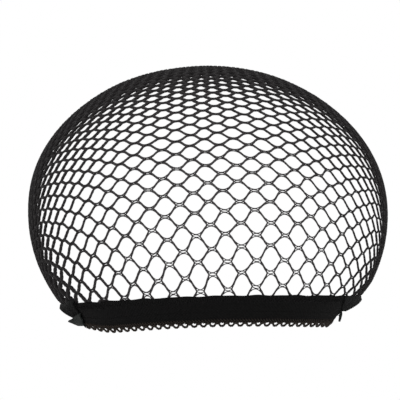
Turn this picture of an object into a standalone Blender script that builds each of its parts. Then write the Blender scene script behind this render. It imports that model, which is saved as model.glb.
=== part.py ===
"""Net washing cap, in metres, +Z up, its front towards -Y.

A stretched net dome hangs on a wide front elastic with a looped edge, and on a
narrow gathered hem that runs round the sides and the back. The origin is the
middle of the head opening, level with the lower edge of the front elastic.
"""
import math

import bmesh
import bpy
from mathutils import Vector

# Net dome: its half width, its rise and drop from its widest level, and how far it tucks under
NET_RADIUS = 0.108
CROWN_RISE = 0.088
TUCK_DROP = 0.0525
TUCK_ANGLE = math.radians(33.4)
NET_THICKNESS = 0.0015

# Gaps cut through the net: their greatest width, the bars between them and the one at the crown
GAP_WIDTH = 0.0208
NET_BAR = 0.0062
CROWN_GAP_WIDTH = 0.018

# Wide front elastic, from seam to seam; leans are measured from the vertical
BAND_WIDTH = 0.0212
BAND_THICKNESS = 0.0016
BAND_LEAN = math.radians(44)
BAND_RIB_DEPTH = 0.0003
SEAM_ANGLE = math.radians(71)

# Row of small loops under the front elastic
PICOT_PITCH = 0.0053
PICOT_HEIGHT = 0.003
PICOT_THICKNESS = 0.001
PICOT_ROOT = 0.0008

# Narrow gathered hem round the sides and the back
HEM_WIDTH = 0.011
HEM_THICKNESS = 0.0018
HEM_LEAN = math.radians(60)
GATHER_PITCH = 0.0095
GATHER_DEPTH = 0.0007

# Loose ends at the two side seams
LEFT_TAIL_LENGTH = 0.0125
LEFT_TAIL_WIDTH = 0.0075
RIGHT_TAIL_LENGTH = 0.0062
RIGHT_TAIL_WIDTH = 0.0020
TAIL_THICKNESS = 0.0012
LEFT_TAIL_LEVEL = 0.72
LEFT_TAIL_SPLAY = math.radians(31)
LEFT_TAIL_DROOP = math.radians(6)
RIGHT_TAIL_SETBACK = 0.0085
RIGHT_TAIL_LEAN = math.radians(8)

# Clearance between neighbouring pieces
CLEARANCE = 0.0004

# Facets: steps round the full circle and down the net, steps to each loop and gather, and sharp edges
NET_STEPS_ROUND = 48
NET_STEPS_DOWN = 11
STEPS_PER_TURN = 96
STEPS_PER_PICOT = 4
STEPS_PER_GATHER = 4
SHARP_ANGLE = math.radians(35)

# Heights above the origin that follow from the sizes
SEAM_HEIGHT = BAND_WIDTH * math.cos(BAND_LEAN)
WIDEST_HEIGHT = SEAM_HEIGHT + CLEARANCE + TUCK_DROP
SEAM_RADIUS = NET_RADIUS * math.cos(TUCK_ANGLE)
OPENING_RADIUS = SEAM_RADIUS - BAND_WIDTH * math.sin(BAND_LEAN)
NET_END_TURN = math.pi / 2 + TUCK_ANGLE

# Rows of gaps: their middle and the room for each as shares of the net from crown to seam
GAP_ROWS = (
    {"middle": 0.163, "room": 0.157, "count": 8},
    {"middle": 0.320, "room": 0.157, "count": 16},
    {"middle": 0.483, "room": 0.185, "count": 24},
    {"middle": 0.620, "room": 0.185, "count": 24},
    {"middle": 0.757, "room": 0.185, "count": 24},
    {"middle": 0.894, "room": 0.185, "count": 24},
)
GAP_POINT_SHARE = 0.25

# Across the front elastic: the share of the way down, and the share of a rib's depth cut in there
BAND_SECTION = (
    {"down": 0.0, "groove": 1.0},
    {"down": 0.08, "groove": 0.0},
    {"down": 0.46, "groove": 0.0},
    {"down": 0.5, "groove": 1.0},
    {"down": 0.54, "groove": 0.0},
    {"down": 0.92, "groove": 0.0},
    {"down": 1.0, "groove": 1.0},
)

# Across the hem: the share of the way down, of its thickness and of a gather's swell
HEM_SECTION = (
    {"down": 0.0, "fill": 0.8, "swell": 0.0},
    {"down": 0.5, "fill": 1.0, "swell": 1.0},
    {"down": 1.0, "fill": 0.8, "swell": 0.7},
)

# How full a loop of the edge is: 1 is a pointed wave, less is rounder
LOOP_ROUNDNESS = 0.7

# Along a tail: the share of its breadth, and its bend to one side as a share of its length
TAIL_SECTIONS = (
    {"along": 0.0, "breadth": 1.0, "bend": 0.0},
    {"along": 0.35, "breadth": 0.92, "bend": 0.02},
    {"along": 0.7, "breadth": 0.62, "bend": -0.05},
    {"along": 1.0, "breadth": 0.2, "bend": -0.02},
)


def clear_scene():
    for old in list(bpy.data.objects):
        bpy.data.objects.remove(old, do_unlink=True)


def cloth(name, colour, roughness):
    """A plain Principled material for one piece."""
    material = bpy.data.materials.new(name)
    material.use_nodes = True
    shader = material.node_tree.nodes["Principled BSDF"]
    shader.inputs["Base Color"].default_value = (*colour, 1.0)
    shader.inputs["Roughness"].default_value = roughness
    shader.inputs["Metallic"].default_value = 0.0
    return material


def add_object(name, bm, material=None):
    """Turn a bmesh into a named object with its faces pointing out, shaded smooth on its round sides."""
    bmesh.ops.recalc_face_normals(bm, faces=bm.faces)
    mesh = bpy.data.meshes.new(name)
    bm.to_mesh(mesh)
    bm.free()
    mesh.shade_smooth()
    mesh.set_sharp_from_angle(angle=SHARP_ANGLE)
    piece = bpy.data.objects.new(name, mesh)
    bpy.context.scene.collection.objects.link(piece)
    if material:
        mesh.materials.append(material)
    return piece


def turned(radius, height, angle):
    """The point at an angle round the cap: 0 is the front, positive to the right."""
    return (radius * math.sin(angle), -radius * math.cos(angle), height)


def net_point(turn, offset=0.0):
    """Radius and height on the net at an angle down from the crown, offset along its normal."""
    sine, cosine = math.sin(turn), math.cos(turn)
    rise = CROWN_RISE if cosine > 0 else TUCK_DROP / math.sin(TUCK_ANGLE)
    normal = (sine * rise, cosine * NET_RADIUS)
    length = math.hypot(*normal)
    radius = NET_RADIUS * sine + offset * normal[0] / length
    height = WIDEST_HEIGHT + rise * cosine + offset * normal[1] / length
    return radius, height


def net_lengths(samples=400):
    """Angles down from the crown and the length of net up to each."""
    turns = [NET_END_TURN * step / samples for step in range(samples + 1)]
    lengths = [0.0]
    for before, after in zip(turns, turns[1:]):
        lengths.append(lengths[-1] + math.dist(net_point(before), net_point(after)))
    return turns, lengths


def turn_at(length, turns, lengths):
    """The angle down from the crown at a length along the net."""
    for index in range(1, len(lengths)):
        if lengths[index] >= length:
            share = (length - lengths[index - 1]) / (lengths[index] - lengths[index - 1])
            return turns[index - 1] + share * (turns[index] - turns[index - 1])
    return turns[-1]


def net_shell():
    """The closed net wall, before its gaps are cut."""
    half = NET_THICKNESS / 2
    turns, lengths = net_lengths()
    stops = [lengths[-1] * step / NET_STEPS_DOWN for step in range(1, NET_STEPS_DOWN + 1)]
    downs = [turn_at(stop, turns, lengths) for stop in stops]
    bm = bmesh.new()
    walls = []
    for offset in (half, -half):
        tip = bm.verts.new((0.0, 0.0, net_point(0.0, offset)[1]))
        rings = [[tip]]
        for down in downs:
            radius, height = net_point(down, offset)
            angles = [2 * math.pi * step / NET_STEPS_ROUND for step in range(NET_STEPS_ROUND)]
            rings.append([bm.verts.new(turned(radius, height, angle)) for angle in angles])
        walls.append(rings)
    for rings in walls:
        for upper, lower in zip(rings, rings[1:]):
            join_rings(bm, upper, lower)
    join_rings(bm, walls[0][-1], walls[1][-1])
    return add_object("net_dome", bm, cloth("net_thread", (0.021, 0.016, 0.019), 0.8))


def join_rings(bm, first, second):
    """Faces between two closed rings, or between a tip and a ring."""
    count = len(second)
    for index in range(count):
        following = (index + 1) % count
        if len(first) == 1:
            bm.faces.new((first[0], second[index], second[following]))
        else:
            bm.faces.new((first[index], second[index], second[following], first[following]))


def add_gap_cutter(bm, turn, angle, width, height):
    """A pointed six-sided prism through the net, square to it."""
    reach = NET_THICKNESS + height / 6
    middle = Vector(turned(*net_point(turn), angle))
    normal = (Vector(turned(*net_point(turn, reach), angle)) - middle).normalized()
    across = Vector((math.cos(angle), math.sin(angle), 0.0))
    up = normal.cross(across)
    shoulder = height * (0.5 - GAP_POINT_SHARE)
    side = width / 2
    corners = (
        (0.0, height / 2),
        (side, shoulder),
        (side, -shoulder),
        (0.0, -height / 2),
        (-side, -shoulder),
        (-side, shoulder),
    )
    ends = []
    for depth in (-reach, reach):
        spots = [middle + across * right + up * rise + normal * depth for right, rise in corners]
        ends.append([bm.verts.new(spot) for spot in spots])
    join_rings(bm, ends[0], ends[1])
    bm.faces.new(ends[0])
    bm.faces.new(ends[1])


def make_net():
    """The net wall with staggered rows of gaps, and one gap at the crown."""
    net = net_shell()
    turns, lengths = net_lengths()
    bm = bmesh.new()
    add_gap_cutter(bm, 0.0, 0.0, CROWN_GAP_WIDTH, CROWN_GAP_WIDTH)
    for number, row in enumerate(GAP_ROWS):
        turn = turn_at(lengths[-1] * row["middle"], turns, lengths)
        pitch = 2 * math.pi * net_point(turn)[0] / row["count"]
        width = min(GAP_WIDTH, pitch - NET_BAR)
        height = lengths[-1] * row["room"] - NET_BAR
        for index in range(row["count"]):
            angle = 2 * math.pi * (index + 0.5 * (number % 2)) / row["count"]
            add_gap_cutter(bm, turn, angle, width, height)
    cutter = add_object("gap_cutters", bm)
    cutter.hide_render = True
    cutter.display_type = "WIRE"
    cut = net.modifiers.new("gaps", "BOOLEAN")
    cut.operation = "DIFFERENCE"
    cut.solver = "EXACT"
    cut.object = cutter
    return net


def slope_section(radius, height, lean, stations):
    """A closed section round a sloping line: (share down, half thickness) at each station."""
    down = (-math.sin(lean), -math.cos(lean))
    out = (math.cos(lean), -math.sin(lean))
    outer = []
    inner = []
    for along, half in stations:
        spot = (radius + down[0] * along, height + down[1] * along)
        outer.append((spot[0] + out[0] * half, spot[1] + out[1] * half))
        inner.append((spot[0] - out[0] * half, spot[1] - out[1] * half))
    return outer + inner[::-1]


def sweep(bm, sections):
    """One closed body through (angle, section) pairs, capped at both ends."""
    rings = []
    for angle, section in sections:
        rings.append([bm.verts.new(turned(radius, height, angle)) for radius, height in section])
    for first, second in zip(rings, rings[1:]):
        join_rings(bm, first, second)
    bm.faces.new(rings[0])
    bm.faces.new(rings[-1])


def spread(start, end, steps):
    return [start + (end - start) * step / steps for step in range(steps + 1)]


def seam_gap_angle(radius):
    """Half the clearance at a side seam, as an angle."""
    return CLEARANCE / 2 / radius


def make_band():
    """The wide front elastic, with two shallow ribs along it."""
    stations = []
    for row in BAND_SECTION:
        along = CLEARANCE + row["down"] * (BAND_WIDTH - CLEARANCE)
        stations.append((along, BAND_THICKNESS / 2 - row["groove"] * BAND_RIB_DEPTH))
    section = slope_section(SEAM_RADIUS, SEAM_HEIGHT, BAND_LEAN, stations)
    end = SEAM_ANGLE - seam_gap_angle(OPENING_RADIUS)
    steps = max(8, round(STEPS_PER_TURN * end / math.pi))
    bm = bmesh.new()
    sweep(bm, [(angle, section) for angle in spread(-end, end, steps)])
    return add_object("front_band", bm, cloth("band_elastic", (0.007, 0.007, 0.007), 0.75))


def make_picots():
    """The looped edge, as a strip whose lower side rises and falls with each loop."""
    radius = OPENING_RADIUS
    end = SEAM_ANGLE - seam_gap_angle(radius) - PICOT_THICKNESS / radius
    count = max(1, round(2 * end * radius / PICOT_PITCH))
    half = PICOT_THICKNESS / 2
    start = BAND_WIDTH + CLEARANCE
    sections = []
    for index, angle in enumerate(spread(-end, end, count * STEPS_PER_PICOT)):
        phase = math.pi * index / STEPS_PER_PICOT
        drop = PICOT_ROOT + (PICOT_HEIGHT - PICOT_ROOT) * abs(math.sin(phase)) ** LOOP_ROUNDNESS
        stations = [(start, half), (start + drop, half)]
        sections.append((angle, slope_section(SEAM_RADIUS, SEAM_HEIGHT, BAND_LEAN, stations)))
    bm = bmesh.new()
    sweep(bm, sections)
    return add_object("picot_edge", bm, cloth("picot_thread", (0.014, 0.011, 0.010), 0.8))


def make_hem():
    """The gathered hem, whose folds swell and sink as it runs round the back."""
    start = SEAM_ANGLE + seam_gap_angle(OPENING_RADIUS)
    sweep_angle = 2 * (math.pi - start)
    count = max(4, round(sweep_angle * SEAM_RADIUS / GATHER_PITCH))
    sections = []
    for index, angle in enumerate(spread(start, start + sweep_angle, count * STEPS_PER_GATHER)):
        wave = 0.5 - 0.5 * math.cos(2 * math.pi * index / STEPS_PER_GATHER)
        stations = []
        for row in HEM_SECTION:
            along = CLEARANCE + row["down"] * (HEM_WIDTH - CLEARANCE)
            stations.append((along, HEM_THICKNESS / 2 * row["fill"] + GATHER_DEPTH * row["swell"] * wave))
        sections.append((angle, slope_section(SEAM_RADIUS, SEAM_HEIGHT, HEM_LEAN, stations)))
    bm = bmesh.new()
    sweep(bm, sections)
    return add_object("back_hem", bm, cloth("hem_elastic", (0.012, 0.012, 0.012), 0.8))


def make_tail(name, root, direction, across, width, length, material):
    """A tapering flat cloth end from its root to its tip."""
    direction = direction.normalized()
    flat = direction.cross(across).normalized()
    across = flat.cross(direction)
    bm = bmesh.new()
    rings = []
    for row in TAIL_SECTIONS:
        middle = root + direction * length * row["along"] + flat * length * row["bend"]
        reach = row["breadth"] * width / 2
        corners = ((-1, -1), (1, -1), (1, 1), (-1, 1))
        ring = []
        for thick, wide in corners:
            spot = middle + flat * thick * TAIL_THICKNESS / 2 + across * wide * reach
            ring.append(bm.verts.new(spot))
        rings.append(ring)
    for first, second in zip(rings, rings[1:]):
        join_rings(bm, first, second)
    bm.faces.new(rings[0])
    bm.faces.new(rings[-1])
    return add_object(name, bm, material)


def make_tails(material):
    """The left end stands out behind the front elastic; the right one hangs under the hem."""
    along = BAND_WIDTH * LEFT_TAIL_LEVEL
    radius = SEAM_RADIUS - along * math.sin(BAND_LEAN)
    height = SEAM_HEIGHT - along * math.cos(BAND_LEAN)
    angle = -SEAM_ANGLE - (CLEARANCE + TAIL_THICKNESS / 2) / radius
    backward = Vector((-math.cos(angle), -math.sin(angle), 0.0))
    outward = Vector((math.sin(angle), -math.cos(angle), 0.0))
    direction = backward * math.cos(LEFT_TAIL_SPLAY) + outward * math.sin(LEFT_TAIL_SPLAY)
    direction.z = -math.tan(LEFT_TAIL_DROOP)
    root = Vector(turned(radius, height, angle))
    up = Vector((0.0, 0.0, 1.0))
    make_tail("seam_tail_left", root, direction, up, LEFT_TAIL_WIDTH, LEFT_TAIL_LENGTH, material)

    radius = SEAM_RADIUS - HEM_WIDTH * math.sin(HEM_LEAN)
    height = SEAM_HEIGHT - HEM_WIDTH * math.cos(HEM_LEAN) - HEM_THICKNESS / 2 - CLEARANCE
    angle = SEAM_ANGLE + RIGHT_TAIL_SETBACK / radius
    tangent = Vector((math.cos(angle), math.sin(angle), 0.0))
    down = Vector((0.0, 0.0, -1.0)) - tangent * math.tan(RIGHT_TAIL_LEAN)
    root = Vector(turned(radius, height, angle))
    make_tail("seam_tail_right", root, down, tangent, RIGHT_TAIL_WIDTH, RIGHT_TAIL_LENGTH, material)


def main():
    clear_scene()
    make_net()
    make_band()
    make_picots()
    make_hem()
    make_tails(cloth("seam_cloth", (0.031, 0.035, 0.033), 0.85))


main()
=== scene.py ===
"""The looks of the net washing cap, in metres, +Z up, its front towards -Y.

The net is drawn in net coordinates: a column runs from the front hem over the crown to
the back hem, and a row crosses the columns. Between two columns runs a pillar of thread
that zigzags from knot to knot, and short ties close each knot. The back of the net
mirrors the front, so that from straight in front its threads lie behind the front ones.
"""
import math

import bpy
import numpy as np
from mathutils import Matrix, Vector


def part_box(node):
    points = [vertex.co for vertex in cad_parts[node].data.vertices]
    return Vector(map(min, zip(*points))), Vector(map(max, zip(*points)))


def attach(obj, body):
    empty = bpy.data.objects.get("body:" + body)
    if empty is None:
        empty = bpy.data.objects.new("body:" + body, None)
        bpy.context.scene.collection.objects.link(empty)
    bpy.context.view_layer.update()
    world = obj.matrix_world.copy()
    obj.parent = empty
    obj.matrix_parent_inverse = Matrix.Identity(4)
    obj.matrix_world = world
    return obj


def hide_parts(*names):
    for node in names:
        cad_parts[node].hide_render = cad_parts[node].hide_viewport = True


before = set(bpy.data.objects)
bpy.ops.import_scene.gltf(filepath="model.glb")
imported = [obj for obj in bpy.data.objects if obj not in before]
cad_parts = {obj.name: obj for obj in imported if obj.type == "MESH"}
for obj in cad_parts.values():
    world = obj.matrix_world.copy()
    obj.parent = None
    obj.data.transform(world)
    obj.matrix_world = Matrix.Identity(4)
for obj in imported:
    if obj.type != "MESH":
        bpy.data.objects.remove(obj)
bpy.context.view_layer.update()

# The frame's boxes that the sizes below start from
dome_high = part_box("net_dome")[1]
band_low, band_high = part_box("front_band")

# Net surface: an upper and a lower half of two ball forms that meet at the widest level
NET_INSET = 0.0006
NET_RADIUS = dome_high.x - NET_INSET
DOME_RISE = 0.088
WIDEST_HEIGHT = dome_high.z - DOME_RISE
CROWN_RISE = DOME_RISE - NET_INSET
TUCK_DROP = 0.0525
TUCK_ANGLE = math.radians(33.4)
TUCK_RISE = TUCK_DROP / math.sin(TUCK_ANGLE)
NET_END_OVERRUN = 0.012
NET_END_TURN = math.pi / 2 + TUCK_ANGLE + NET_END_OVERRUN
NET_FLARE = 0.75

# Above the widest level the net is fuller at its sides, and more so on the left
NET_SHOULDER = 0.052
SHOULDER_TILT = 0.014
SHOULDER_SIDE_POWER = 6
SHOULDER_RISE_POWER = 1.5

# The net sinks towards the right: how far, at places across the cap, and over which height it fades out
NET_SINK = (
    {"across": -0.050, "sink": 0.0},
    {"across": -0.015, "sink": 0.0009},
    {"across": 0.030, "sink": 0.0011},
    {"across": 0.065, "sink": 0.0016},
    {"across": 0.100, "sink": 0.0027},
)
SINK_FADE = 0.012

# Front elastic and hem, both hanging from the net's lower edge; leans are from the vertical
SEAM_RADIUS = dome_high.x * math.cos(TUCK_ANGLE)
SEAM_HEIGHT = band_high.z
BAND_LEAN = math.radians(44)
BAND_WIDTH = (band_high.z - band_low.z) / math.cos(BAND_LEAN)
BAND_THICKNESS = 0.0016
OPENING_RADIUS = SEAM_RADIUS - BAND_WIDTH * math.sin(BAND_LEAN)
HEM_WIDTH = 0.0138
HEM_LEAN = math.radians(51)
HEM_THICKNESS = 0.0019
HEM_BULGE = 0.0013

# The lower edge is pulled up in front, and more to the right than to the left
FRONT_RISE = 0.0022
FRONT_RISE_POWER = 3
SIDE_TILT = 0.00095

# The side seams slant: their angles in degrees, at shares of the way down the front elastic
SEAM_SLANT = (
    {"down": 0.0, "left": -62.0, "right": 62.0},
    {"down": 0.3, "left": -66.0, "right": 67.0},
    {"down": 0.6, "left": -69.8, "right": 71.8},
    {"down": 1.0, "left": -74.0, "right": 72.4},
)

# Towards the left seam the elastic is drawn up: where that starts and is whole, and how far
PULL_START = math.radians(-50)
PULL_END = math.radians(-78)
PULL_MOST = 0.0050

# Front elastic: its mesh, fine ribs, two grooves, and the sewn strip at its top
BAND_STATIONS = 56
BAND_STEPS = 300
RIB_PITCH = 0.0011
RIB_DEPTH = 0.00007
GROOVES = (
    {"down": 0.58, "width": 0.018, "depth": 0.00030},
    {"down": 0.76, "width": 0.018, "depth": 0.00030},
)
EDGE_WAVES = 24
EDGE_LIFT = 0.00032
EDGE_SECOND_SHARE = 0.6
EDGE_SECOND_PACE = 1.7
EDGE_SECOND_START = 1.0
EDGE_FADE_POWER = 6
SEWN_SHARE = 0.24
SEWN_FADE = 0.05
SEWN_SWELL = 0.00028
SEWN_RUMPLE = 0.00008
RUMPLES_ROUND = 210
RUMPLES_DOWN = 60
RUMPLE_SLANT = 37

# Threads that bind the net to the elastic
STITCH_PITCH = 0.0026
STITCH_TOP = -0.0006
STITCH_DEPTH = 0.0046
STITCH_RADIUS = 0.00021
STITCH_STEPS = 4
STITCH_LEVEL = 0.1
STITCH_UNEVEN = 0.25
STITCH_FAST_PACE = 1.9
STITCH_SLOW_PACE = 0.37
STITCH_TUCK = 0.0006
STITCH_TUCK_FADE = 0.0005
STITCH_PROUD = 0.6
SEWING_SIDES = 5

# Stitches along the elastic's lower edge
EDGE_STITCH_PITCH = 0.0018
EDGE_STITCH_RADIUS = 0.00028
EDGE_STITCH_LEVEL = 0.95
EDGE_STITCH_STEPS = 4
EDGE_STITCH_HEIGHT = 1.1
EDGE_STITCH_ARCH = 6
CORD_SIDES = 6
EDGE_STITCH_ROWS = (
    {"down": 0.895, "height": 0.0017, "slant": 0.9, "shift": 0.25},
    {"down": 0.965, "height": 0.0015, "slant": -0.9, "shift": 0.75},
)

# Looped edge: a cord of two plies that swings down in round loops, and one that closes them at the top.
# The loops are spaced by the tangent of an angle that runs evenly from one side to the other.
PICOT_PITCH = 0.0055
PICOT_SPREAD = 0.54
PICOT_STEPS = 28
PICOT_CORDS = (
    {"middle": 0.0016, "swing": 0.0014, "rounding": 1.5, "openness": 0.18, "out": 0.0003},
    {"middle": 0.0004, "swing": -0.0010, "rounding": 0.3, "openness": 0.0, "out": -0.0002},
)
PICOT_PLIES = 2
PICOT_TWIST = 0.0020
PICOT_OVERRUN = 1.5
PICOT_PLY_OFFSET = 0.00032
PICOT_PLY_RADIUS = 0.00046

# Gathered hem
HEM_STATIONS = 13
HEM_STEPS = 620
GATHER_PITCH = 0.0048
GATHER_DEPTH = 0.0006
GATHER_DRIFT = (
    {"drift": 1.1, "pace": 3.1, "start": 0.0},
    {"drift": 0.7, "pace": 7.3, "start": 1.0},
)
GATHER_FOLDS = (
    {"share": 0.5, "pace": 1.0, "slant": 1.5},
    {"share": 0.3, "pace": 2.3, "slant": 4.0},
)
GATHER_MIDDLE = 0.5
GATHER_AT_EDGE = 0.3
GATHER_FADE_POWER = 0.7
HEM_SCALLOP = 0.0004
HEM_SCALLOP_POWER = 3

# Beside the left seam the hem's upper edge is bunched up over the net: how far, where, and how wide
BUNCH_LIFT = 0.0032
BUNCH_ANGLE = math.radians(-65)
BUNCH_SPREAD = math.radians(8)

# Left loose end, a fold of cloth: where its upper and lower edges run on the slope, and how far out
LEFT_TAIL = (
    {
        "share": 0.0, "top_degrees": -64.6, "top": 0.0070,
        "bottom_degrees": -71.6, "bottom": 0.0172, "out": 0.0012,
    },
    {
        "share": 0.35, "top_degrees": -67.3, "top": 0.0072,
        "bottom_degrees": -76.0, "bottom": 0.0169, "out": 0.0018,
    },
    {
        "share": 0.7, "top_degrees": -73.6, "top": 0.0089,
        "bottom_degrees": -79.2, "bottom": 0.0158, "out": 0.0025,
    },
    {
        "share": 0.88, "top_degrees": -75.3, "top": 0.0093,
        "bottom_degrees": -79.4, "bottom": 0.0121, "out": 0.0039,
    },
    {
        "share": 1.0, "top_degrees": -76.6, "top": 0.0089,
        "bottom_degrees": -77.2, "bottom": 0.0097, "out": 0.0053,
    },
)
LEFT_TAIL_STEPS = 24
LEFT_TAIL_STATIONS = 11
LEFT_TAIL_CURL = 0.0009
CURL_SECOND_SHARE = 0.5
CURL_SECOND_WAVES = 3
CURL_SLANT = 4
TAIL_THICKNESS = 0.0009

# Right loose end, a narrow strip that hangs from the hem
RIGHT_TAIL_WIDTH = 0.0019
RIGHT_TAIL = (
    {"share": 0.0, "width": 0.9, "bend": 0.0},
    {"share": 0.4, "width": 1.0, "bend": 0.0003},
    {"share": 0.8, "width": 0.85, "bend": -0.0003},
    {"share": 1.0, "width": 0.6, "bend": -0.0007},
)
RIGHT_TAIL_STEPS = 14
RIGHT_TAIL_SIDES = 8
RIGHT_TAIL_REACH = 1.22

# Cut thread ends at the left corner: where they start on the slope, and how far they reach
THREAD_ENDS = (
    {"degrees": -72.6, "down": 0.0162, "turn": 1.2, "reach": 0.0030, "out": 0.0006},
    {"degrees": -71.5, "down": 0.0158, "turn": -1.6, "reach": 0.0024, "out": 0.0004},
    {"degrees": -70.5, "down": 0.0164, "turn": 0.8, "reach": 0.0022, "out": 0.0003},
)
THREAD_END_RADIUS = 0.00017
THREAD_END_STEPS = 6
THREAD_END_ARCH = 0.0006
THREAD_END_BEND = 3

# Zigzag stitches over the side seams
SEAM_STITCHES = 15
SEAM_STITCH_TOP = -0.0013
SEAM_STITCH_REACH = 0.0009
SEAM_STITCH_LENGTH = 0.0165
SEAM_STITCH_RADIUS = 0.00022
SEAM_STITCH_STEPS = 3

# How the net is laid out: knot columns each side of the middle, and rows from the crown to the hem.
# Most values here, and the tilts and leans below, come from a least-squares fit to meshes in the photo.
SIDE_COLUMNS = 21
HEM_ROW = 22.4
EXTRA_ROWS = 2
HEM_SPREAD = 1.235
HEM_POWER = 5
CROWN_TURN = math.radians(74.6)
CROWN_SPREAD = 0.585
CROWN_POWER = 1.58
COLUMN_BOW = 0.496
ROW_SPREAD = 0.7525
ROW_STRETCH = 6.2
SIDE_ROW_COLUMN = 16.7
SIDE_ROW_MOST = 0.95
SIDE_ROW_STRETCH = 1.75
SIDE_EASE_COLUMN = 15
SIDE_ROW_EASE = 0.40
GRID_STEP = 0.1
LINE_SAMPLES = 200

# Slant and unevenness of the real net, in columns and rows
ROW_TILT = (
    {"row": 6.0, "tilt": 0.075},
    {"row": 22.0, "tilt": 0.030},
)
CROWN_CALM = 4.0
COLUMN_LEAN = (
    {"row": 7.5, "columns": -0.46},
    {"row": 16.0, "columns": -0.12},
    {"row": 22.5, "columns": 0.36},
)
SIDE_SHIFT = 0.4
LEAN_POWER = 8
WOBBLES = (
    {"across": 1.7, "down": 2.9, "phase": 0.4, "columns": 0.024, "rows": 0.020},
    {"across": 2.6, "down": -1.3, "phase": 2.1, "columns": 0.014, "rows": 0.024},
    {"across": -0.9, "down": 4.1, "phase": 5.0, "columns": 0.020, "rows": 0.012},
    {"across": 3.3, "down": 0.7, "phase": 1.2, "columns": 0.012, "rows": 0.020},
)

# Net threads where the net is stretched most, and how much fuller they are where it is not
PILLAR_HALF_WIDTH = 0.000565
PILLAR_HALF_DEPTH = 0.00050
OPEN_LEG = 0.0082
LEG_REACH = 0.25
LEAST_LEG = 1e-5
FULLNESS_POWER = 0.9
FULLNESS_LEAST = 0.9
FULLNESS_MOST = 1.7

# At each row, how much thicker slack threads are on the left, and how much thinner taut ones on the right
THREAD_STRETCH = (
    {"row": 4.0, "left_slack": 0.0, "right_taut": 0.10},
    {"row": 8.0, "left_slack": 0.0, "right_taut": 0.34},
    {"row": 11.0, "left_slack": 0.0, "right_taut": 0.34},
    {"row": 15.0, "left_slack": 0.30, "right_taut": 0.18},
    {"row": 18.0, "left_slack": 0.70, "right_taut": 0.18},
    {"row": 20.0, "left_slack": 1.00, "right_taut": 0.18},
    {"row": 22.4, "left_slack": 1.90, "right_taut": 0.12},
)
SLACK_POWER = 1.6

# The most that half a thread's width may be, as a share of a row's height: less towards the sides
ROW_FILL = (
    {"column": 14.0, "fill": 0.29},
    {"column": 17.0, "fill": 0.20},
    {"column": 19.0, "fill": 0.16},
)

# The zigzag threads and their knots
PILLAR_SIDES = 6
PILLAR_STOPS = (0.0, 0.14, 0.32, 0.5, 0.68, 0.86)
PILLAR_CORNERS = (
    {"row": 4.0, "corner": 0.960},
    {"row": 11.0, "corner": 0.988},
)
PILLAR_LUMP = 0.07
KNOT_SIDE_LOSS = 0.4
KNOTS = (
    {"row": 0.0, "half_width": 0.22, "swell": 0.15},
    {"row": 12.0, "half_width": 0.24, "swell": -0.05},
    {"row": 16.5, "half_width": 0.25, "swell": -0.20},
    {"row": 19.5, "half_width": 0.25, "swell": -0.30},
    {"row": 22.0, "half_width": 0.26, "swell": -0.35},
)

# How much fuller all threads are at each row
THREAD_GAIN = (
    {"row": 0.0, "gain": 1.36},
    {"row": 4.2, "gain": 1.62},
    {"row": 5.5, "gain": 1.30},
    {"row": 8.0, "gain": 1.21},
    {"row": 11.0, "gain": 1.14},
    {"row": 14.0, "gain": 1.10},
    {"row": 17.0, "gain": 1.01},
    {"row": 19.5, "gain": 1.12},
    {"row": 21.5, "gain": 1.27},
)

# How far a knot reaches along its thread, in rows, and the short ties that close it
KNOT_LENGTH = 0.06
TIE_SIDES = 4
TIE_STEPS = 5
TIE_SPAN = 0.3
TIES = (
    {"level": -0.062, "sag": -0.075, "reach": 0.38, "radius": 0.00029, "lift": 0.00020},
    {"level": 0.062, "sag": 0.075, "reach": 0.38, "radius": 0.00029, "lift": 0.00010},
    {"level": -0.048, "sag": 0.050, "reach": 0.30, "radius": 0.00026, "lift": -0.00010},
    {"level": 0.048, "sag": -0.050, "reach": 0.30, "radius": 0.00026, "lift": -0.00015},
)

# The least length that a direction is worked out from, and the least square of an edge's thickness share
LEAST_LENGTH = 1e-12
LEAST_EDGE_SQUARE = 0.02


def unit(vectors):
    """The vectors, each made one long."""
    return vectors / np.maximum(np.linalg.norm(vectors, axis=-1, keepdims=True), LEAST_LENGTH)


def column_of(table, key):
    """One value from each row of a table."""
    return [row[key] for row in table]


def hem_angle(columns):
    """Angle round the hem where each column ends: 0 in front, closer together towards the side."""
    share = np.abs(columns) / SIDE_COLUMNS
    turn = HEM_SPREAD * share + (1 - HEM_SPREAD) * share**HEM_POWER
    return np.sign(columns) * math.pi / 2 * turn


def crown_angle(columns):
    """Angle down from the crown where each column crosses the crown line, which runs side to side."""
    share = np.abs(columns) / SIDE_COLUMNS
    turn = CROWN_SPREAD * share + (1 - CROWN_SPREAD) * share**CROWN_POWER
    return np.sign(columns) * CROWN_TURN * turn


def row_share(columns, rows):
    """How far down its column each row lies, as a share of the column's length."""
    share = np.abs(rows) / HEM_ROW
    middle = ROW_SPREAD * share + (1 - ROW_SPREAD) * share**ROW_STRETCH
    sideways = np.minimum(SIDE_ROW_MOST, (columns / SIDE_ROW_COLUMN) ** 2)
    ease = np.clip((np.abs(columns) - SIDE_EASE_COLUMN) / (SIDE_COLUMNS - SIDE_EASE_COLUMN), 0, 1)
    return (1 - sideways) * middle + sideways * share ** (SIDE_ROW_STRETCH - SIDE_ROW_EASE * ease)


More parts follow.
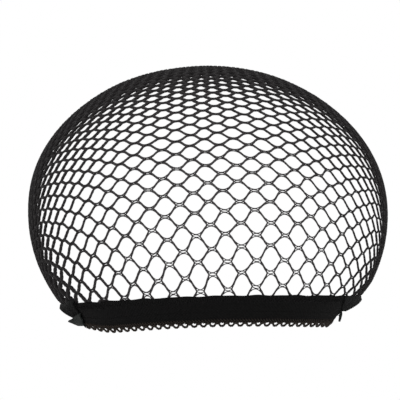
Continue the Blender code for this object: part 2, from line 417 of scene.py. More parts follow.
def column_lines(columns):
    """Points down the front of each column: a great circle from the crown line to the hem, bowed aside."""
    hem, crown = hem_angle(columns), crown_angle(columns)
    top = np.stack([np.sin(crown), np.zeros_like(crown), np.cos(crown)], -1)
    foot = np.stack([np.sin(hem), -np.cos(hem), np.zeros_like(hem)], -1) * math.sin(NET_END_TURN)
    foot[:, 2] = math.cos(NET_END_TURN)
    turn = np.arccos((top * foot).sum(-1))[:, None]
    down = np.linspace(0, 1, LINE_SAMPLES)
    from_top = (np.sin((1 - down) * turn) / np.sin(turn))[..., None]
    from_foot = (np.sin(down * turn) / np.sin(turn))[..., None]
    aside = unit(np.cross(foot, top))[:, None]
    bow = COLUMN_BOW * np.sin(hem) * (1 - (columns / SIDE_COLUMNS) ** 2)
    bulge = (bow[:, None] * 4 * down * (1 - down))[..., None]
    ball = unit(top[:, None] * from_top + foot[:, None] * from_foot + aside * bulge)
    across, back, up = ball[..., 0], ball[..., 1], ball[..., 2]
    shoulder = (NET_SHOULDER - SHOULDER_TILT * across) * across**SHOULDER_SIDE_POWER
    shoulder = shoulder * np.maximum(up, 0) ** SHOULDER_RISE_POWER
    across, back, up = across * (1 + shoulder), back * (1 + shoulder), up * (1 + shoulder)
    heights = WIDEST_HEIGHT + np.where(up > 0, CROWN_RISE, TUCK_RISE) * up
    sink = np.interp(NET_RADIUS * across, column_of(NET_SINK, "across"), column_of(NET_SINK, "sink"))
    heights = heights - sink * np.clip((heights - SEAM_HEIGHT) / SINK_FADE, 0, 1)
    return np.stack([NET_RADIUS * across, NET_RADIUS * back, heights], -1)


def net_grid():
    """Points of the front of the net at every grid step of columns and rows."""
    columns = np.linspace(-SIDE_COLUMNS, SIDE_COLUMNS, round(2 * SIDE_COLUMNS / GRID_STEP) + 1)
    rows = np.linspace(0, HEM_ROW, round(HEM_ROW / GRID_STEP) + 1)
    lines = column_lines(columns)
    steps = np.linalg.norm(np.diff(lines, axis=1), axis=2)
    lengths = np.concatenate([np.zeros((len(columns), 1)), np.cumsum(steps, axis=1)], axis=1)
    grid = np.empty((len(columns), len(rows), 3))
    for number, column in enumerate(columns):
        places = row_share(column, rows) * lengths[number, -1]
        for axis in range(3):
            grid[number, :, axis] = np.interp(places, lengths[number], lines[number, :, axis])
    return grid


NET_GRID = net_grid()


def settled(columns, rows):
    """Net coordinates with the net's slant and unevenness added, alike in front and behind."""
    depth = np.abs(rows)
    calm = np.tanh(depth / CROWN_CALM)
    side = np.minimum(np.abs(columns) / SIDE_COLUMNS, 1)
    inner = 1 - side**LEAN_POWER
    lean = np.interp(depth, column_of(COLUMN_LEAN, "row"), column_of(COLUMN_LEAN, "columns"))
    moved_columns = columns + inner * (lean + SIDE_SHIFT * side)
    tilt = np.interp(depth, column_of(ROW_TILT, "row"), column_of(ROW_TILT, "tilt"))
    moved_depth = depth - calm * tilt * columns
    for wave in WOBBLES:
        swing = np.sin(wave["across"] * columns + wave["down"] * depth + wave["phase"])
        moved_columns = moved_columns + inner * wave["columns"] * swing
        moved_depth = moved_depth + calm * wave["rows"] * swing
    return moved_columns, moved_depth


def on_net(columns, rows, behind):
    """Points and outward normals of the net at net coordinates, on its front or behind."""
    columns, depth = settled(columns, rows)
    place = (np.clip(columns, -SIDE_COLUMNS, SIDE_COLUMNS) + SIDE_COLUMNS) / GRID_STEP
    level = np.clip(depth, 0, HEM_ROW) / GRID_STEP
    left = np.minimum(place.astype(int), NET_GRID.shape[0] - 2)
    above = np.minimum(level.astype(int), NET_GRID.shape[1] - 2)
    part, drop = (place - left)[..., None], (level - above)[..., None]
    upper = NET_GRID[left, above] * (1 - part) + NET_GRID[left + 1, above] * part
    lower = NET_GRID[left, above + 1] * (1 - part) + NET_GRID[left + 1, above + 1] * part
    points = upper * (1 - drop) + lower * drop
    if behind:
        points[..., 1] *= -1
    points[..., 1] *= np.where(np.asarray(rows) < 0, -1, 1)
    height = points[..., 2] - WIDEST_HEIGHT
    rise = np.where(height > 0, CROWN_RISE, TUCK_RISE)
    slopes = [points[..., 0] / NET_RADIUS**2, points[..., 1] / NET_RADIUS**2, height / rise**2]
    return points, unit(np.stack(slopes, -1))


def knot_half_width(columns, rows):
    """Half the distance between the two pillars at a knot, in columns."""
    side_loss = 1 - KNOT_SIDE_LOSS * (columns / SIDE_COLUMNS) ** 2
    return side_loss * np.interp(np.abs(rows), column_of(KNOTS, "row"), column_of(KNOTS, "half_width"))


def fullness(columns, rows, behind):
    """How much fuller the threads are here than where the net is stretched most."""
    spans = []
    for slant in (-LEG_REACH, LEG_REACH):
        start = on_net(columns - LEG_REACH, rows - slant, behind)[0]
        end = on_net(columns + LEG_REACH, rows + slant, behind)[0]
        spans.append(np.linalg.norm(end - start, axis=-1))
    leg = np.maximum(np.mean(spans, axis=0), LEAST_LEG)
    stops = column_of(THREAD_STRETCH, "row")
    left = np.interp(np.abs(rows), stops, column_of(THREAD_STRETCH, "left_slack"))
    right = np.interp(np.abs(rows), stops, column_of(THREAD_STRETCH, "right_taut"))
    across = columns / SIDE_COLUMNS
    slack = 1 + left * np.clip(-across, 0, 1) ** SLACK_POWER - right * np.clip(across, 0, 1)
    slack = slack * np.interp(np.abs(rows), column_of(THREAD_GAIN, "row"), column_of(THREAD_GAIN, "gain"))
    full = np.clip((OPEN_LEG / leg) ** FULLNESS_POWER, FULLNESS_LEAST, FULLNESS_MOST) * slack
    above, below = (on_net(columns, rows + step, behind)[0] for step in (-0.5, 0.5))
    fill = np.interp(np.abs(columns), column_of(ROW_FILL, "column"), column_of(ROW_FILL, "fill"))
    return np.minimum(full, fill * np.linalg.norm(below - above, axis=-1) / PILLAR_HALF_WIDTH)


def tubes(paths, normals, width, depth, sides):
    """Closed tubes along paths (tube, point, xyz): half width across the cloth, half depth through it.

    Each point is marked with its place across the thread, from -1 to 1, and its length along.
    """
    tangents = unit(np.gradient(paths, axis=1))
    across = unit(np.cross(normals, tangents))
    outward = np.cross(tangents, across)
    turn = 2 * math.pi * np.arange(sides) / sides
    width = np.broadcast_to(width, paths.shape[:2])[:, :, None, None]
    depth = np.broadcast_to(depth, paths.shape[:2])[:, :, None, None]
    cosine, sine = np.cos(turn)[:, None], np.sin(turn)[:, None]
    rings = paths[:, :, None] + across[:, :, None] * cosine * width + outward[:, :, None] * sine * depth
    count, stops = paths.shape[:2]
    index = np.arange(count * stops * sides).reshape(count, stops, sides)
    following = np.roll(index, -1, axis=2)
    walls = np.stack([index[:, :-1], following[:, :-1], following[:, 1:], index[:, 1:]], -1).reshape(-1, 4)
    caps = [walls]
    for near in range(0, sides - 2, 2):
        corners = [0, near + 1, near + 2, (near + 3) % sides]
        caps.append(index[:, -1][:, corners])
        caps.append(index[:, 0][:, corners[::-1]])
    lengths = np.linalg.norm(np.diff(paths, axis=1), axis=2)
    lengths = np.concatenate([np.zeros((count, 1)), np.cumsum(lengths, axis=1)], axis=1)
    marks = np.empty((count, stops, sides, 2))
    marks[..., 0] = np.cos(turn)
    marks[..., 1] = lengths[:, :, None]
    return rings.reshape(-1, 3), np.concatenate(caps), marks.reshape(-1, 2)


def joined(parts):
    """One body of points, quads and marks from several."""
    points, quads, marks, start = [], [], [], 0
    for part_points, part_quads, part_marks in parts:
        points.append(part_points)
        quads.append(part_quads + start)
        marks.append(part_marks)
        start += len(part_points)
    return np.concatenate(points), np.concatenate(quads), np.concatenate(marks)


def add_piece(name, geometry, material, nodes=()):
    """A smooth mesh object that rides on the cap, and stands for the CAD nodes that it is given."""
    points, quads, marks = geometry
    mesh = bpy.data.meshes.new(name)
    mesh.vertices.add(len(points))
    mesh.vertices.foreach_set("co", points.astype(np.float32).ravel())
    mesh.loops.add(quads.size)
    mesh.loops.foreach_set("vertex_index", quads.astype(np.int32).ravel())
    mesh.polygons.add(len(quads))
    mesh.polygons.foreach_set("loop_start", np.arange(0, quads.size, 4, dtype=np.int32))
    mesh.update(calc_edges=True)
    cloth = mesh.uv_layers.new(name="cloth")
    cloth.data.foreach_set("uv", marks[quads.ravel()].astype(np.float32).ravel())
    mesh.validate()
    mesh.shade_smooth()
    mesh.materials.append(material)
    piece = bpy.data.objects.new(name, mesh)
    bpy.context.scene.collection.objects.link(piece)
    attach(piece, "root")
    if nodes:
        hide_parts(*nodes)
    return piece


def knot_phase(column):
    """The share of a row by which a column's knots lie below a whole row."""
    return 0.5 if column % 2 == 0 else 0.0


def pillars(behind):
    """The threads that zigzag down the net, one between each two columns."""
    halves = np.arange(0, 2 * (HEM_ROW + EXTRA_ROWS))
    rows = ((halves[:, None] + np.array(PILLAR_STOPS)) / 2).ravel()
    from_knot = np.abs(rows * 2 - np.round(rows * 2)) / 2
    swell = np.interp(rows, column_of(KNOTS, "row"), column_of(KNOTS, "swell"))
    swell = 1 + swell * np.exp(-((from_knot / KNOT_LENGTH) ** 2))
    corner = np.interp(rows, column_of(PILLAR_CORNERS, "row"), column_of(PILLAR_CORNERS, "corner"))
    lump = 1 + PILLAR_LUMP * np.cos(math.pi * np.arange(len(rows)))
    parts = []
    for column in range(-SIDE_COLUMNS, SIDE_COLUMNS):
        wave = corner * np.cos(2 * math.pi * (rows - knot_phase(column)))
        sway = np.arcsin(wave) / np.arcsin(corner)
        places = column + 0.5 - (0.5 - knot_half_width(column, rows)) * sway
        shown = int((settled(places, rows)[1] < HEM_ROW).sum()) + 1
        points, normals = on_net(places[:shown], rows[:shown], behind)
        full = fullness(np.full(shown, column + 0.5), rows[:shown], behind)
        thick = (swell * lump)[None, :shown] * full
        size = (PILLAR_HALF_WIDTH * thick, PILLAR_HALF_DEPTH * thick)
        parts.append(tubes(points[None], normals[None], *size, PILLAR_SIDES))
    return joined(parts)


def ties(behind):
    """The short threads that close each knot, above and below its two pillars."""
    columns, rows = [], []
    for column in range(-SIDE_COLUMNS, SIDE_COLUMNS + 1):
        for row in np.arange(knot_phase(column), HEM_ROW + EXTRA_ROWS, 1.0):
            if settled(np.array(float(column)), np.array(row))[1] < HEM_ROW:
                if row > 0 or not behind:
                    columns.append(column)
                    rows.append(row)
    columns, rows = np.array(columns, float)[:, None], np.array(rows)[:, None]
    wide = knot_half_width(columns, rows) / KNOTS[-1]["half_width"]
    full = fullness(columns, rows, behind)
    parts = []
    for tie in TIES:
        reach = np.linspace(-tie["reach"], tie["reach"], TIE_STEPS + 1)
        drop = tie["level"] + tie["sag"] * (reach / TIE_SPAN) ** 2
        points, normals = on_net(columns + reach * wide, rows + drop * wide, behind)
        points = points + normals * tie["lift"]
        thick = tie["radius"] * full
        parts.append(tubes(points, normals, thick, thick, TIE_SIDES))
    return joined(parts)


def around(angles, radii, heights):
    """Points round the cap: angle 0 is in front, positive to the right."""
    return np.stack([radii * np.sin(angles), -radii * np.cos(angles), heights], -1)


def ring_rise(angles):
    """How far the lower edge of the net is pulled up at each angle."""
    ahead = np.maximum(np.cos(angles), 0)
    return FRONT_RISE * ahead**FRONT_RISE_POWER + SIDE_TILT * np.sin(angles)


def slope(lean, angles, along, out):
    """Points a length down the slope that leans in from the seam, offset outwards from it."""
    rise = ring_rise(angles)
    radii = SEAM_RADIUS + rise * NET_FLARE - along * math.sin(lean) + out * math.cos(lean)
    heights = SEAM_HEIGHT + rise - along * math.cos(lean) - out * math.sin(lean)
    return around(angles, radii, heights)


def slope_normals(lean, angles):
    """The outward direction of the slope at each angle."""
    return around(angles, math.cos(lean), np.full_like(angles, -math.sin(lean)))


def slab(outer, inner, marks):
    """A closed body between two grids of points, seen from outside with rows going down."""
    across, down = outer.shape[:2]
    front = np.arange(across * down).reshape(across, down)
    back = front + across * down
    faces = [
        np.stack([front[:-1, :-1], front[:-1, 1:], front[1:, 1:], front[1:, :-1]], -1),
        np.stack([back[:-1, :-1], back[1:, :-1], back[1:, 1:], back[:-1, 1:]], -1),
        np.stack([front[:-1, 0], front[1:, 0], back[1:, 0], back[:-1, 0]], -1),
        np.stack([front[1:, -1], front[:-1, -1], back[:-1, -1], back[1:, -1]], -1),
        np.stack([front[0, 1:], front[0, :-1], back[0, :-1], back[0, 1:]], -1),
        np.stack([front[-1, :-1], front[-1, 1:], back[-1, 1:], back[-1, :-1]], -1),
    ]
    points = np.concatenate([outer.reshape(-1, 3), inner.reshape(-1, 3)])
    quads = np.concatenate([face.reshape(-1, 4) for face in faces])
    return points, quads, np.concatenate([marks.reshape(-1, 2)] * 2)


def rounded_edge(along, length, radius):
    """The share of its full thickness that a cloth edge has, near either end of its width."""
    near = np.clip(np.minimum(along, length - along) / radius, 0, 1)
    return np.sqrt(np.clip(1 - (1 - near) ** 2, LEAST_EDGE_SQUARE, 1))


def seam_angles(down):
    """The angles of the left and the right side seam at shares of the way down the front elastic."""
    stops = column_of(SEAM_SLANT, "down")
    left = np.interp(down, stops, column_of(SEAM_SLANT, "left"))
    right = np.interp(down, stops, column_of(SEAM_SLANT, "right"))
    return np.radians([left, right])


def band_length(angles):
    """The length of the front elastic down its slope, which the left seam draws up."""
    share = np.clip((angles - PULL_START) / (PULL_END - PULL_START), 0, 1)
    return BAND_WIDTH - PULL_MOST * share**2 * (3 - 2 * share)


def cloth_marks(angles, along):
    """The length round the cap and the length down the cloth at each point of a grid."""
    return np.stack([angles * SEAM_RADIUS, along], -1)


def front_elastic():
    """The wide woven elastic, with its grooves, its fuller sewn top and its slightly uneven edge."""
    down = np.linspace(0, 1, BAND_STATIONS)
    left, right = seam_angles(down)
    angles = left + np.linspace(0, 1, BAND_STEPS)[:, None] * (right - left)
    along = down * band_length(angles)
    second = np.sin(EDGE_SECOND_PACE * EDGE_WAVES * angles + EDGE_SECOND_START)
    lift = np.sin(EDGE_WAVES * angles) + EDGE_SECOND_SHARE * second
    along = along - EDGE_LIFT * lift * (1 - down) ** EDGE_FADE_POWER
    edge = rounded_edge(down * BAND_WIDTH, BAND_WIDTH, BAND_THICKNESS / 2)
    rib = np.cos(2 * math.pi * down * BAND_WIDTH / RIB_PITCH)
    outer = (BAND_THICKNESS / 2 + RIB_DEPTH * rib) * edge
    for groove in GROOVES:
        outer = outer - groove["depth"] * np.exp(-(((down - groove["down"]) / groove["width"]) ** 2))
    sewn = np.clip((SEWN_SHARE - down) / SEWN_FADE, 0, 1) * edge
    rumple = np.sin(angles * RUMPLES_ROUND) * np.sin(down * RUMPLES_DOWN + angles * RUMPLE_SLANT)
    outer = outer + sewn * (SEWN_SWELL + SEWN_RUMPLE * rumple)
    inner = np.zeros_like(angles) - BAND_THICKNESS / 2 * edge
    faces = [slope(BAND_LEAN, angles, along, out) for out in (outer, inner)]
    return slab(*faces, cloth_marks(angles, along))


def laid_thread(lean, angles, along, out, radius, sides):
    """A round thread laid along the slope, or several, one in each row of the grids."""
    angles, along, out = np.broadcast_arrays(*np.atleast_2d(angles, along, out))
    return tubes(slope(lean, angles, along, out), slope_normals(lean, angles), radius, radius, sides)


def top_stitches():
    """The thread that binds the net to the front elastic, to and fro over its top edge."""
    left, right = seam_angles(STITCH_LEVEL)
    count = 2 * round((right - left) * SEAM_RADIUS / STITCH_PITCH)
    angles = np.linspace(left, right, count * STITCH_STEPS + 1)
    phase = np.arange(len(angles)) / STITCH_STEPS
    swing = np.abs(phase % 2 - 1)
    uneven = STITCH_UNEVEN * np.sin(phase * STITCH_FAST_PACE) * np.sin(phase * STITCH_SLOW_PACE)
    reach = STITCH_DEPTH * (1 + uneven)
    along = STITCH_TOP + (reach - STITCH_TOP) * swing
    tuck = STITCH_TUCK * np.exp(-np.maximum(along, 0) / STITCH_TUCK_FADE)
    out = BAND_THICKNESS / 2 + SEWN_SWELL + STITCH_RADIUS * STITCH_PROUD - tuck
    return laid_thread(BAND_LEAN, angles, along, out, STITCH_RADIUS, SEWING_SIDES)


def edge_stitches():
    """Short slanting stitches that hold the looped edge to the elastic."""
    left, right = seam_angles(EDGE_STITCH_LEVEL)
    count = round((right - left) * OPENING_RADIUS / EDGE_STITCH_PITCH)
    share = np.linspace(-0.5, 0.5, EDGE_STITCH_STEPS + 1)
    parts = []
    for row in EDGE_STITCH_ROWS:
        middle = left + (np.arange(count) + row["shift"]) / count * (right - left)
        angles = middle[:, None] + share * row["slant"] * EDGE_STITCH_PITCH / OPENING_RADIUS
        along = band_length(angles) * row["down"] + share * row["height"]
        height = EDGE_STITCH_HEIGHT - EDGE_STITCH_ARCH * share**2
        out = BAND_THICKNESS / 2 + EDGE_STITCH_RADIUS * height
        parts.append(laid_thread(BAND_LEAN, angles, along, out, EDGE_STITCH_RADIUS, CORD_SIDES))
    return joined(parts)


def loop_swing(phase, rounding, openness):
    """From 1 in the round of a loop to -1 between two loops: the rounder, the steeper its sides."""
    low, high = (math.tanh(rounding * (openness + end)) for end in (-1, 1))
    wave = np.tanh(rounding * (openness - np.cos(phase)))
    return 2 * (wave - low) / (high - low) - 1


def picot_loops():
    """The looped edge: a cord that swings down in loops, wider at the sides, and one that closes them."""
    left, right = seam_angles(1.0) + np.radians([-PICOT_OVERRUN, PICOT_OVERRUN])
    spread = math.tan(PICOT_SPREAD)
    count = round((right - left) * OPENING_RADIUS / PICOT_PITCH * PICOT_SPREAD / spread)
    turn = np.linspace(-PICOT_SPREAD, PICOT_SPREAD, count * PICOT_STEPS + 1)
    angles = (left + right) / 2 + (right - left) / 2 * np.tan(turn) / spread
    phase = 2 * math.pi * np.arange(len(angles)) / PICOT_STEPS
    normals = slope_normals(BAND_LEAN, angles)
    parts = []
    for cord in PICOT_CORDS:
        swing = cord["swing"] * loop_swing(phase, cord["rounding"], cord["openness"])
        along = band_length(angles) + cord["middle"] + swing
        middle = slope(BAND_LEAN, angles, along, np.full_like(angles, cord["out"]))
        tangents = unit(np.gradient(middle, axis=0))
        across = np.cross(normals, tangents)
        steps = np.linalg.norm(np.diff(middle, axis=0), axis=1)
        length = np.concatenate([[0], np.cumsum(steps)])
        for ply in range(PICOT_PLIES):
            twist = 2 * math.pi * length / PICOT_TWIST + 2 * math.pi * ply / PICOT_PLIES
            offset = across * np.cos(twist)[:, None] + normals * np.sin(twist)[:, None]
            path = middle + offset * PICOT_PLY_OFFSET
            size = (PICOT_PLY_RADIUS, PICOT_PLY_RADIUS)
            parts.append(tubes(path[None], normals[None], *size, CORD_SIDES))
    return joined(parts)


def back_hem():
    """The narrow gathered hem round the sides and the back, its folds uneven in width and height."""
    down = np.linspace(0, 1, HEM_STATIONS)
    beside = down * HEM_WIDTH * math.cos(HEM_LEAN) / (BAND_WIDTH * math.cos(BAND_LEAN))
    left, right = seam_angles(beside)
    angles = right + np.linspace(0, 1, HEM_STEPS)[:, None] * (2 * math.pi + left - right)
    phase = 2 * math.pi * angles * SEAM_RADIUS / GATHER_PITCH
    for wave in GATHER_DRIFT:
        phase = phase + wave["drift"] * np.sin(wave["pace"] * angles + wave["start"])
    fold = GATHER_MIDDLE
    for wave in GATHER_FOLDS:
        fold = fold + wave["share"] * np.sin(wave["pace"] * phase + wave["slant"] * down)
    edge = rounded_edge(down * HEM_WIDTH, HEM_WIDTH, HEM_THICKNESS / 2)
    swell = GATHER_AT_EDGE + (1 - GATHER_AT_EDGE) * np.sin(math.pi * down) ** GATHER_FADE_POWER
    bulge = HEM_BULGE * np.sin(math.pi * np.sqrt(down))
    outer = bulge + HEM_THICKNESS / 2 * edge + GATHER_DEPTH * swell * fold
    inner = bulge - HEM_THICKNESS / 2 * edge + GATHER_DEPTH / 2 * swell * fold
    along = down * HEM_WIDTH + HEM_SCALLOP * np.sin(phase) * down**HEM_SCALLOP_POWER
    away = (angles - 2 * math.pi - BUNCH_ANGLE) / BUNCH_SPREAD
    along = along - BUNCH_LIFT * (1 - down) * np.exp(-(away**2))
    faces = [slope(HEM_LEAN, angles, along, out) for out in (outer, inner)]
    return slab(*faces, cloth_marks(angles, along))


def seam_stitches():
    """Zigzag stitches that join the front elastic and the hem at both sides."""
    phase = np.arange(SEAM_STITCHES * 2 * SEAM_STITCH_STEPS + 1) / SEAM_STITCH_STEPS
    along = SEAM_STITCH_TOP + SEAM_STITCH_LENGTH * phase / phase[-1]
    swing = 2 * np.abs(phase % 2 - 1) - 1
    parts = []
    for seam in seam_angles(along / BAND_WIDTH):
        angles = seam + swing * SEAM_STITCH_REACH / SEAM_RADIUS
        out = BAND_THICKNESS / 2 + SEWN_SWELL + SEAM_STITCH_RADIUS
        parts.append(laid_thread(BAND_LEAN, angles, along, out, SEAM_STITCH_RADIUS, SEWING_SIDES))
    return joined(parts)


def left_loose_end():
    """The fold of cloth that stands out from the left side seam, over the hem."""
    share = np.linspace(0, 1, LEFT_TAIL_STEPS)
    stops = column_of(LEFT_TAIL, "share")
    edges = {}
    for key in ("top_degrees", "top", "bottom_degrees", "bottom", "out"):
        edges[key] = np.interp(share, stops, column_of(LEFT_TAIL, key))[:, None]
    cross = np.linspace(0, 1, LEFT_TAIL_STATIONS)
    turn = edges["top_degrees"] + (edges["bottom_degrees"] - edges["top_degrees"]) * cross
    along = edges["top"] + (edges["bottom"] - edges["top"]) * cross
    second = np.sin(CURL_SECOND_WAVES * math.pi * cross + CURL_SLANT * share[:, None])
    curl = np.sin(math.pi * cross) + CURL_SECOND_SHARE * second
    out = edges["out"] + LEFT_TAIL_CURL * curl * (1 - share[:, None])
    angles = np.radians(turn)
    faces = [slope(BAND_LEAN, angles, along, out + side * TAIL_THICKNESS / 2) for side in (-1, 1)]
    return slab(*faces, cloth_marks(angles, along))


def right_loose_end():
    """The narrow strip that hangs from the hem at the right side seam."""
    low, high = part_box("seam_tail_right")
    top = np.array([high.x - RIGHT_TAIL_WIDTH / 2, (low.y + high.y) / 2, high.z])
    bottom = np.array([low.x + RIGHT_TAIL_WIDTH / 2, (low.y + high.y) / 2, low.z])
    share = np.linspace(0, 1, RIGHT_TAIL_STEPS)
    stops = column_of(RIGHT_TAIL, "share")
    width = RIGHT_TAIL_WIDTH * np.interp(share, stops, column_of(RIGHT_TAIL, "width"))
    bend = np.interp(share, stops, column_of(RIGHT_TAIL, "bend"))
    path = top + RIGHT_TAIL_REACH * share[:, None] * (bottom - top)
    path = path + bend[:, None] * np.array([1.0, 0.0, 0.0])
    normals = np.tile([0.0, -1.0, 0.0], (1, len(share), 1))
    return tubes(path[None], normals, width / 2, TAIL_THICKNESS / 2, RIGHT_TAIL_SIDES)


def thread_ends():
    """Cut ends of sewing thread that hang at the left corner."""
    share = np.linspace(0, 1, THREAD_END_STEPS + 1)
    parts = []
    for row in THREAD_ENDS:
        angles = np.radians(row["degrees"] + row["turn"] * share**2)
        along = row["down"] + row["reach"] * share
        out = row["out"] + THREAD_END_ARCH * np.sin(THREAD_END_BEND * share) + BAND_THICKNESS / 2
        parts.append(laid_thread(BAND_LEAN, angles, along, out, THREAD_END_RADIUS, SEWING_SIDES))
    return joined(parts)


def add_node(material, kind, **settings):
    """A shader node, its named inputs and properties set."""
    made = material.node_tree.nodes.new(kind)
    for key, value in settings.items():
        name = key.replace("_", " ").title()
        if name in made.inputs:
            made.inputs[name].default_value = value
        else:
            setattr(made, key, value)
    return made


def maths(material, operation, *values):
    """The result of a maths node, each of its inputs a number or another node's result."""
    made = add_node(material, "ShaderNodeMath", operation=operation)
    for socket, value in zip(made.inputs, values):
        if isinstance(value, bpy.types.NodeSocket):
            material.node_tree.links.new(value, socket)
        else:
            socket.default_value = value
    return made.outputs[0]


def marked(material):
    """The two marks that a piece's points carry: across and along a thread, or round and down a cloth."""
    marks = add_node(material, "ShaderNodeUVMap", uv_map="cloth")
    split = add_node(material, "ShaderNodeSeparateXYZ")
    material.node_tree.links.new(marks.outputs["UV"], split.inputs["Vector"])
    return split.outputs["X"], split.outputs["Y"]


def chain(material, pitch):
    """The height of a knitted chain: stitches that slant back from the middle of the thread, from -1 to 1."""
    across, along = marked(material)
    side = maths(material, "ABSOLUTE", across)
    slanted = maths(material, "MULTIPLY_ADD", side, CHAIN_SLANT * pitch, along)
    return maths(material, "SINE", maths(material, "MULTIPLY", slanted, 2 * math.pi / pitch))


def woven(material, pitch):
    """The height of a plain weave, from -1 to 1."""
    waves = []
    for way in marked(material):
        turn = maths(material, "MULTIPLY", way, math.pi / pitch)
        waves.append(maths(material, "SINE", turn))
    return maths(material, "MULTIPLY", *waves)


def fabric(name, look, make):
    """A matt cloth whose surface follows its stitches and a fine grain, in metres. Its colour follows the
    same height: painted shade in the stitches' hollows and painted highlight on their crests, over the
    grain's own uneven tone.
    """
    material = bpy.data.materials.new(name)
    material.use_nodes = True
    shader = material.node_tree.nodes["Principled BSDF"]
    shader.inputs["Roughness"].default_value = look["roughness"]
    shader.inputs["Specular IOR Level"].default_value = look["shine"]
    shader.inputs["Sheen Weight"].default_value = look["sheen"]
    shader.inputs["Sheen Roughness"].default_value = SHEEN_ROUGHNESS
    link = material.node_tree.links.new
    where = add_node(material, "ShaderNodeTexCoord")
    grain = {"scale": 1 / look["grain"], "detail": GRAIN_DETAIL, "roughness": GRAIN_ROUGHNESS}
    cloud = add_node(material, "ShaderNodeTexNoise", **grain)
    stitches = make(material, look["pitch"])
    # Colour from this height: the stitches give painted shade in their hollows and painted highlight on their
    # crests, and the grain gives real uneven tone
    height = maths(material, "MULTIPLY_ADD", stitches, look["stitch"], cloud.outputs["Fac"])
    ramp = add_node(material, "ShaderNodeValToRGB")
    ramp.color_ramp.elements[0].color = (*look["dark"], 1)
    ramp.color_ramp.elements[1].color = (*look["light"], 1)
    ramp.color_ramp.elements[0].position = DARK_UP_TO
    ramp.color_ramp.elements[1].position = LIGHT_FROM
    relief = add_node(material, "ShaderNodeBump", strength=RELIEF_STRENGTH, distance=look["bump"])
    link(where.outputs["Object"], cloud.inputs["Vector"])
    link(height, ramp.inputs["Fac"])
    link(ramp.outputs["Color"], shader.inputs["Base Color"])
    link(height, relief.inputs["Height"])
    link(relief.outputs["Normal"], shader.inputs["Normal"])
    return material


def painted_light_ahead(material, gain):
    """Painted light: threads are made lighter towards the front and the back, as if lit face-on there, and so
    darker towards the sides; it also stands for the paler look of the thin threads where the net is
    stretched.
    """
    shader = material.node_tree.nodes["Principled BSDF"]
    colour = shader.inputs["Base Color"].links[0].from_socket
    link = material.node_tree.links.new
    where = add_node(material, "ShaderNodeTexCoord")
    split = add_node(material, "ShaderNodeSeparateXYZ")
    link(where.outputs["Object"], split.inputs["Vector"])
    depth = split.outputs["Y"]
    squared = maths(material, "MULTIPLY", depth, depth)
    value = maths(material, "MULTIPLY_ADD", squared, gain / NET_RADIUS**2, 1.0)
    tint = add_node(material, "ShaderNodeHueSaturation", saturation=NET_PAINTED_LIGHT_SATURATION)
    link(value, tint.inputs["Value"])
    link(colour, tint.inputs["Color"])
    link(tint.outputs["Color"], shader.inputs["Base Color"])
    return material


# Finishes: colours, gloss, and the sizes of grain, stitches and relief in metres. Each look's dark and light
# colours are spread by its grain's uneven tone and by its stitches' height, the latter as painted shade in
# the hollows and painted highlight on the crests.
CHAIN_SLANT = 0.55
SHEEN_ROUGHNESS = 0.5
GRAIN_DETAIL = 3.0
GRAIN_ROUGHNESS = 0.6
DARK_UP_TO = 0.25
LIGHT_FROM = 0.80
RELIEF_STRENGTH = 0.8
NET_LOOK = {
    "dark": (0.0085, 0.0075, 0.0078), "light": (0.0225, 0.0195, 0.0205), "roughness": 0.85,
    "shine": 0.07, "sheen": 0.03, "grain": 0.0006, "stitch": 0.22, "pitch": 0.0011, "bump": 0.0003,
}
BAND_LOOK = {
    "dark": (0.0032, 0.0032, 0.0032), "light": (0.0096, 0.0093, 0.0093), "roughness": 0.8,
    "shine": 0.035, "sheen": 0.0, "grain": 0.0009, "stitch": 0.20, "pitch": 0.0011, "bump": 0.0002,
}
PICOT_LOOK = {
    "dark": (0.0170, 0.0135, 0.0112), "light": (0.049, 0.0385, 0.0317), "roughness": 0.85,
    "shine": 0.07, "sheen": 0.03, "grain": 0.0005, "stitch": 0.22, "pitch": 0.0007, "bump": 0.0002,
}
HEM_LOOK = {
    "dark": (0.0034, 0.0034, 0.0034), "light": (0.012, 0.012, 0.012), "roughness": 0.85,
    "shine": 0.05, "sheen": 0.01, "grain": 0.0008, "stitch": 0.20, "pitch": 0.0011, "bump": 0.0003,
}
SEAM_LOOK = {
    "dark": (0.008, 0.0095, 0.0088), "light": (0.025, 0.0290, 0.0268), "roughness": 0.9,
    "shine": 0.08, "sheen": 0.03, "grain": 0.0007, "stitch": 0.15, "pitch": 0.0006, "bump": 0.0002,
}
SEWING_LOOK = {
    "dark": (0.0030, 0.0030, 0.0030), "light": (0.0110, 0.0106, 0.0106), "roughness": 0.85,
    "shine": 0.03, "sheen": 0.0, "grain": 0.0004, "stitch": 0.15, "pitch": 0.0006, "bump": 0.0001,
}
BINDING_LOOK = {
    "dark": (0.0020, 0.0020, 0.0020), "light": (0.0160, 0.0150, 0.0155), "roughness": 0.85,
    "shine": 0.06, "sheen": 0.02, "grain": 0.0012, "stitch": 0.15, "pitch": 0.0006, "bump": 0.0001,
}
# Painted light on the net: how much lighter its threads are made towards the front and the back, and how much
# of their colour's saturation is kept there
NET_PAINTED_LIGHT = 2.6
NET_PAINTED_LIGHT_SATURATION = 0.7
net_thread = painted_light_ahead(fabric("net_thread", NET_LOOK, chain), NET_PAINTED_LIGHT)
band_cloth = fabric("band_elastic", BAND_LOOK, woven)
picot_thread = fabric("picot_thread", PICOT_LOOK, chain)
hem_cloth = fabric("hem_elastic", HEM_LOOK, woven)
seam_cloth = fabric("seam_cloth", SEAM_LOOK, woven)
sewing_thread = fabric("sewing_thread", SEWING_LOOK, chain)
binding_thread = fabric("binding_thread", BINDING_LOOK, chain)

# Net
net_front = add_piece("net_pillars_front", pillars(False), net_thread, ["net_dome"])
net_back = add_piece("net_pillars_back", pillars(True), net_thread, ["net_dome"])
ties_front = add_piece("net_ties_front", ties(False), net_thread, ["net_dome"])
ties_back = add_piece("net_ties_back", ties(True), net_thread, ["net_dome"])

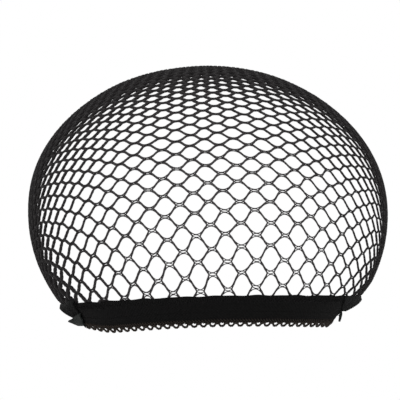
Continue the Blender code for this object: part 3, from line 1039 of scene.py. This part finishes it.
# Elastics, looped edge and hem
band = add_piece("front_elastic", front_elastic(), band_cloth, ["front_band"])
binding = add_piece("binding_stitches", top_stitches(), binding_thread)
picots = add_piece("picot_cords", picot_loops(), picot_thread, ["picot_edge"])
picot_seam = add_piece("picot_stitches", edge_stitches(), picot_thread, ["picot_edge"])
hem = add_piece("gathered_hem", back_hem(), hem_cloth, ["back_hem"])
side_seams = add_piece("seam_stitches", seam_stitches(), sewing_thread)

# Loose ends at the side seams
left_tail = add_piece("loose_end_left", left_loose_end(), seam_cloth, ["seam_tail_left"])
right_tail = add_piece("loose_end_right", right_loose_end(), seam_cloth, ["seam_tail_right"])
cut_threads = add_piece("thread_ends", thread_ends(), sewing_thread)

# Camera: level and without perspective, so that the back of the net lies exactly behind its front
CAMERA_SPAN = 0.24
CAMERA_PLACE = (-0.0046, -1.2, 0.07535)
CAMERA_ROLL = math.radians(1.0)
camera = bpy.data.objects.new("camera", bpy.data.cameras.new("camera"))
camera.data.type = "ORTHO"
camera.data.ortho_scale = CAMERA_SPAN
camera.location = CAMERA_PLACE
camera.rotation_euler = (math.pi / 2, CAMERA_ROLL, 0)
bpy.context.scene.collection.objects.link(camera)
bpy.context.scene.camera = camera

# Pale floor, and soft light from the world and two large panels
FLOOR_LEVEL = -0.05
FLOOR_SIZE = 4
FLOOR_COLOUR = (0.85, 0.85, 0.85, 1)
FLOOR_ROUGHNESS = 0.9
bpy.ops.mesh.primitive_plane_add(size=FLOOR_SIZE, location=(0, 0, FLOOR_LEVEL))
floor = bpy.context.object
floor.name = "floor"
pale = bpy.data.materials.new("floor")
pale.use_nodes = True
pale.node_tree.nodes["Principled BSDF"].inputs["Base Color"].default_value = FLOOR_COLOUR
pale.node_tree.nodes["Principled BSDF"].inputs["Roughness"].default_value = FLOOR_ROUGHNESS
floor.data.materials.append(pale)

LIGHTS = (
    {"name": "key", "place": (0.7, -0.9, 0.9), "size": 0.9, "watts": 1.6},
    {"name": "fill", "place": (-0.9, -0.6, 0.5), "size": 0.9, "watts": 0.6},
)
for row in LIGHTS:
    panel = bpy.data.lights.new(row["name"], "AREA")
    panel.size = row["size"]
    panel.energy = row["watts"]
    lamp = bpy.data.objects.new(row["name"], panel)
    lamp.location = row["place"]
    aim = Vector((0, 0, WIDEST_HEIGHT)) - lamp.location
    lamp.rotation_euler = aim.to_track_quat("-Z", "Y").to_euler()
    bpy.context.scene.collection.objects.link(lamp)

SKY_COLOUR = (1, 1, 1, 1)
SKY_STRENGTH = 1.0
world = bpy.data.worlds.new("studio")
world.use_nodes = True
world.node_tree.nodes["Background"].inputs["Color"].default_value = SKY_COLOUR
world.node_tree.nodes["Background"].inputs["Strength"].default_value = SKY_STRENGTH
bpy.context.scene.world = world
bpy.context.scene.view_settings.view_transform = "Standard"
